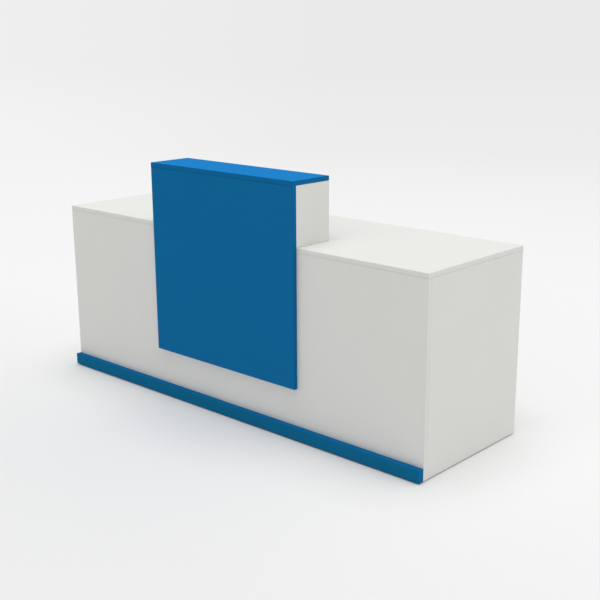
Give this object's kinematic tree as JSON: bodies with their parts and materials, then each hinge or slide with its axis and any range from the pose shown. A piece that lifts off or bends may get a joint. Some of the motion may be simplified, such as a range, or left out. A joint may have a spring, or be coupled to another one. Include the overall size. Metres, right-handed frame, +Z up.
{
  "type": "reception desk",
  "caption": "Free-standing reception desk of white laminated boards with a raised blue visitor counter in the middle, a blue plinth and levelling feet.",
  "frame": {"origin": "on the floor, in the middle of the footprint's bounding box", "axes": "+X along the desk, to the right as a visitor sees it; +Y from the visitors' side to the staff side; +Z up"},
  "size_m": [2, 0.6252, 1.005],
  "materials": {
    "white_laminate": "white melamine-faced chipboard, satin, with matching edge band",
    "blue_laminate": "blue melamine-faced chipboard, satin, with matching edge band",
    "zinc_plated_steel": "bright zinc-plated steel",
    "die_cast_zinc": "die-cast zinc, as cast",
    "black_nylon": "black moulded nylon",
    "grey_plastic": "light grey moulded plastic, satin"
  },
  "bodies": {
    "carcass": {"worktop": "white_laminate", "front_panel": "white_laminate", "left_end_panel": "white_laminate", "left_support_panel": "white_laminate", "left_counter_cheek": "white_laminate", "right_end_panel": "white_laminate", "right_support_panel": "white_laminate", "right_counter_cheek": "white_laminate", "plinth_board": "blue_laminate", "counter_front_panel": "blue_laminate", "counter_shelf": "blue_laminate", "cam_bolt_left_end_panel_top_front": "zinc_plated_steel", "cam_bolt_left_end_panel_top_rear": "zinc_plated_steel", "cam_bolt_left_end_panel_front_low": "zinc_plated_steel", "cam_bolt_left_end_panel_front_high": "zinc_plated_steel", "cam_bolt_left_support_panel_top": "zinc_plated_steel", "cam_bolt_right_end_panel_top_front": "zinc_plated_steel", "cam_bolt_right_end_panel_top_rear": "zinc_plated_steel", "cam_bolt_right_end_panel_front_low": "zinc_plated_steel", "cam_bolt_right_end_panel_front_high": "zinc_plated_steel", "cam_bolt_right_support_panel_top": "zinc_plated_steel", "foot_bracket_left_end_front": "zinc_plated_steel", "foot_bracket_left_end_rear": "zinc_plated_steel", "foot_bracket_left_support_front": "zinc_plated_steel", "foot_bracket_left_support_rear": "zinc_plated_steel", "foot_bracket_right_end_front": "zinc_plated_steel", "foot_bracket_right_end_rear": "zinc_plated_steel", "foot_bracket_right_support_front": "zinc_plated_steel", "foot_bracket_right_support_rear": "zinc_plated_steel", "grommet_ring_left": "grey_plastic", "grommet_ring_right": "grey_plastic"},
    "foot_pad_left_end_front": {"foot_pad_left_end_front": "black_nylon"},
    "foot_stem_left_end_front": {"foot_stem_left_end_front": "zinc_plated_steel"},
    "foot_pad_left_end_rear": {"foot_pad_left_end_rear": "black_nylon"},
    "foot_stem_left_end_rear": {"foot_stem_left_end_rear": "zinc_plated_steel"},
    "foot_pad_left_support_front": {"foot_pad_left_support_front": "black_nylon"},
    "foot_stem_left_support_front": {"foot_stem_left_support_front": "zinc_plated_steel"},
    "foot_pad_left_support_rear": {"foot_pad_left_support_rear": "black_nylon"},
    "foot_stem_left_support_rear": {"foot_stem_left_support_rear": "zinc_plated_steel"},
    "foot_pad_right_end_front": {"foot_pad_right_end_front": "black_nylon"},
    "foot_stem_right_end_front": {"foot_stem_right_end_front": "zinc_plated_steel"},
    "foot_pad_right_end_rear": {"foot_pad_right_end_rear": "black_nylon"},
    "foot_stem_right_end_rear": {"foot_stem_right_end_rear": "zinc_plated_steel"},
    "foot_pad_right_support_front": {"foot_pad_right_support_front": "black_nylon"},
    "foot_stem_right_support_front": {"foot_stem_right_support_front": "zinc_plated_steel"},
    "foot_pad_right_support_rear": {"foot_pad_right_support_rear": "black_nylon"},
    "foot_stem_right_support_rear": {"foot_stem_right_support_rear": "zinc_plated_steel"},
    "cam_lock_left_end_panel_top_front": {"cam_lock_left_end_panel_top_front": "die_cast_zinc"},
    "cam_lock_left_end_panel_top_rear": {"cam_lock_left_end_panel_top_rear": "die_cast_zinc"},
    "cam_lock_left_end_panel_front_low": {"cam_lock_left_end_panel_front_low": "die_cast_zinc"},
    "cam_lock_left_end_panel_front_high": {"cam_lock_left_end_panel_front_high": "die_cast_zinc"},
    "cam_lock_left_support_panel_top": {"cam_lock_left_support_panel_top": "die_cast_zinc"},
    "cam_lock_right_end_panel_top_front": {"cam_lock_right_end_panel_top_front": "die_cast_zinc"},
    "cam_lock_right_end_panel_top_rear": {"cam_lock_right_end_panel_top_rear": "die_cast_zinc"},
    "cam_lock_right_end_panel_front_low": {"cam_lock_right_end_panel_front_low": "die_cast_zinc"},
    "cam_lock_right_end_panel_front_high": {"cam_lock_right_end_panel_front_high": "die_cast_zinc"},
    "cam_lock_right_support_panel_top": {"cam_lock_right_support_panel_top": "die_cast_zinc"},
    "grommet_cap_left": {"grommet_cap_left": "grey_plastic"},
    "grommet_cap_right": {"grommet_cap_right": "grey_plastic"}
  },
  "joints": [
    {"name": "rise_left_end_front", "type": "slide", "parent": "carcass", "child": "foot_pad_left_end_front", "axis": [0, 0, 1], "range_m": [-0.015, 0]},
    {"name": "turn_left_end_front", "type": "hinge", "parent": "foot_pad_left_end_front", "child": "foot_stem_left_end_front", "pos_m": [-0.96, -0.23705, 0], "axis": [0, 0, 1], "range_deg": [-4320, 0]},
    {"name": "rise_left_end_rear", "type": "slide", "parent": "carcass", "child": "foot_pad_left_end_rear", "axis": [0, 0, 1], "range_m": [-0.015, 0]},
    {"name": "turn_left_end_rear", "type": "hinge", "parent": "foot_pad_left_end_rear", "child": "foot_stem_left_end_rear", "pos_m": [-0.96, 0.25265, 0], "axis": [0, 0, 1], "range_deg": [-4320, 0]},
    {"name": "rise_left_support_front", "type": "slide", "parent": "carcass", "child": "foot_pad_left_support_front", "axis": [0, 0, 1], "range_m": [-0.015, 0]},
    {"name": "turn_left_support_front", "type": "hinge", "parent": "foot_pad_left_support_front", "child": "foot_stem_left_support_front", "pos_m": [-0.422, -0.23705, 0], "axis": [0, 0, 1], "range_deg": [-4320, 0]},
    {"name": "rise_left_support_rear", "type": "slide", "parent": "carcass", "child": "foot_pad_left_support_rear", "axis": [0, 0, 1], "range_m": [-0.015, 0]},
    {"name": "turn_left_support_rear", "type": "hinge", "parent": "foot_pad_left_support_rear", "child": "foot_stem_left_support_rear", "pos_m": [-0.422, 0.15095, 0], "axis": [0, 0, 1], "range_deg": [-4320, 0]},
    {"name": "rise_right_end_front", "type": "slide", "parent": "carcass", "child": "foot_pad_right_end_front", "axis": [0, 0, 1], "range_m": [-0.015, 0]},
    {"name": "turn_right_end_front", "type": "hinge", "parent": "foot_pad_right_end_front", "child": "foot_stem_right_end_front", "pos_m": [0.96, -0.23705, 0], "axis": [0, 0, 1], "range_deg": [-4320, 0]},
    {"name": "rise_right_end_rear", "type": "slide", "parent": "carcass", "child": "foot_pad_right_end_rear", "axis": [0, 0, 1], "range_m": [-0.015, 0]},
    {"name": "turn_right_end_rear", "type": "hinge", "parent": "foot_pad_right_end_rear", "child": "foot_stem_right_end_rear", "pos_m": [0.96, 0.25265, 0], "axis": [0, 0, 1], "range_deg": [-4320, 0]},
    {"name": "rise_right_support_front", "type": "slide", "parent": "carcass", "child": "foot_pad_right_support_front", "axis": [0, 0, 1], "range_m": [-0.015, 0]},
    {"name": "turn_right_support_front", "type": "hinge", "parent": "foot_pad_right_support_front", "child": "foot_stem_right_support_front", "pos_m": [0.422, -0.23705, 0], "axis": [0, 0, 1], "range_deg": [-4320, 0]},
    {"name": "rise_right_support_rear", "type": "slide", "parent": "carcass", "child": "foot_pad_right_support_rear", "axis": [0, 0, 1], "range_m": [-0.015, 0]},
    {"name": "turn_right_support_rear", "type": "hinge", "parent": "foot_pad_right_support_rear", "child": "foot_stem_right_support_rear", "pos_m": [0.422, 0.15095, 0], "axis": [0, 0, 1], "range_deg": [-4320, 0]},
    {"name": "cam_left_end_panel_top_front", "type": "hinge", "parent": "carcass", "child": "cam_lock_left_end_panel_top_front", "pos_m": [-0.991, -0.17905, 0.7127], "axis": [1, 0, 0], "range_deg": [-140, 0]},
    {"name": "cam_left_end_panel_top_rear", "type": "hinge", "parent": "carcass", "child": "cam_lock_left_end_panel_top_rear", "pos_m": [-0.991, 0.22265, 0.7127], "axis": [1, 0, 0], "range_deg": [-140, 0]},
    {"name": "cam_left_end_panel_front_low", "type": "hinge", "parent": "carcass", "child": "cam_lock_left_end_panel_front_low", "pos_m": [-0.991, -0.24505, 0.155], "axis": [1, 0, 0], "range_deg": [-140, 0]},
    {"name": "cam_left_end_panel_front_high", "type": "hinge", "parent": "carcass", "child": "cam_lock_left_end_panel_front_high", "pos_m": [-0.991, -0.24505, 0.5867], "axis": [1, 0, 0], "range_deg": [-140, 0]},
    {"name": "cam_left_support_panel_top", "type": "hinge", "parent": "carcass", "child": "cam_lock_left_support_panel_top", "pos_m": [-0.391, 0.12095, 0.7127], "axis": [-1, 0, 0], "range_deg": [-140, 0]},
    {"name": "cam_right_end_panel_top_front", "type": "hinge", "parent": "carcass", "child": "cam_lock_right_end_panel_top_front", "pos_m": [0.991, -0.17905, 0.7127], "axis": [-1, 0, 0], "range_deg": [-140, 0]},
    {"name": "cam_right_end_panel_top_rear", "type": "hinge", "parent": "carcass", "child": "cam_lock_right_end_panel_top_rear", "pos_m": [0.991, 0.22265, 0.7127], "axis": [-1, 0, 0], "range_deg": [-140, 0]},
    {"name": "cam_right_end_panel_front_low", "type": "hinge", "parent": "carcass", "child": "cam_lock_right_end_panel_front_low", "pos_m": [0.991, -0.24505, 0.155], "axis": [-1, 0, 0], "range_deg": [-140, 0]},
    {"name": "cam_right_end_panel_front_high", "type": "hinge", "parent": "carcass", "child": "cam_lock_right_end_panel_front_high", "pos_m": [0.991, -0.24505, 0.5867], "axis": [-1, 0, 0], "range_deg": [-140, 0]},
    {"name": "cam_right_support_panel_top", "type": "hinge", "parent": "carcass", "child": "cam_lock_right_support_panel_top", "pos_m": [0.391, 0.12095, 0.7127], "axis": [1, 0, 0], "range_deg": [-140, 0]},
    {"name": "cap_left", "type": "hinge", "parent": "carcass", "child": "grommet_cap_left", "pos_m": [-0.25, -0.17735, 0.755], "axis": [0, 0, 1], "continuous": true},
    {"name": "cap_right", "type": "hinge", "parent": "carcass", "child": "grommet_cap_right", "pos_m": [0.25, -0.17735, 0.755], "axis": [0, 0, 1], "continuous": true}
  ],
  "couplings": [
    {"joint": "turn_left_end_front", "follows": "rise_left_end_front", "rad_per_m": 5026.5},
    {"joint": "turn_left_end_rear", "follows": "rise_left_end_rear", "rad_per_m": 5026.5},
    {"joint": "turn_left_support_front", "follows": "rise_left_support_front", "rad_per_m": 5026.5},
    {"joint": "turn_left_support_rear", "follows": "rise_left_support_rear", "rad_per_m": 5026.5},
    {"joint": "turn_right_end_front", "follows": "rise_right_end_front", "rad_per_m": 5026.5},
    {"joint": "turn_right_end_rear", "follows": "rise_right_end_rear", "rad_per_m": 5026.5},
    {"joint": "turn_right_support_front", "follows": "rise_right_support_front", "rad_per_m": 5026.5},
    {"joint": "turn_right_support_rear", "follows": "rise_right_support_rear", "rad_per_m": 5026.5}
  ]
}
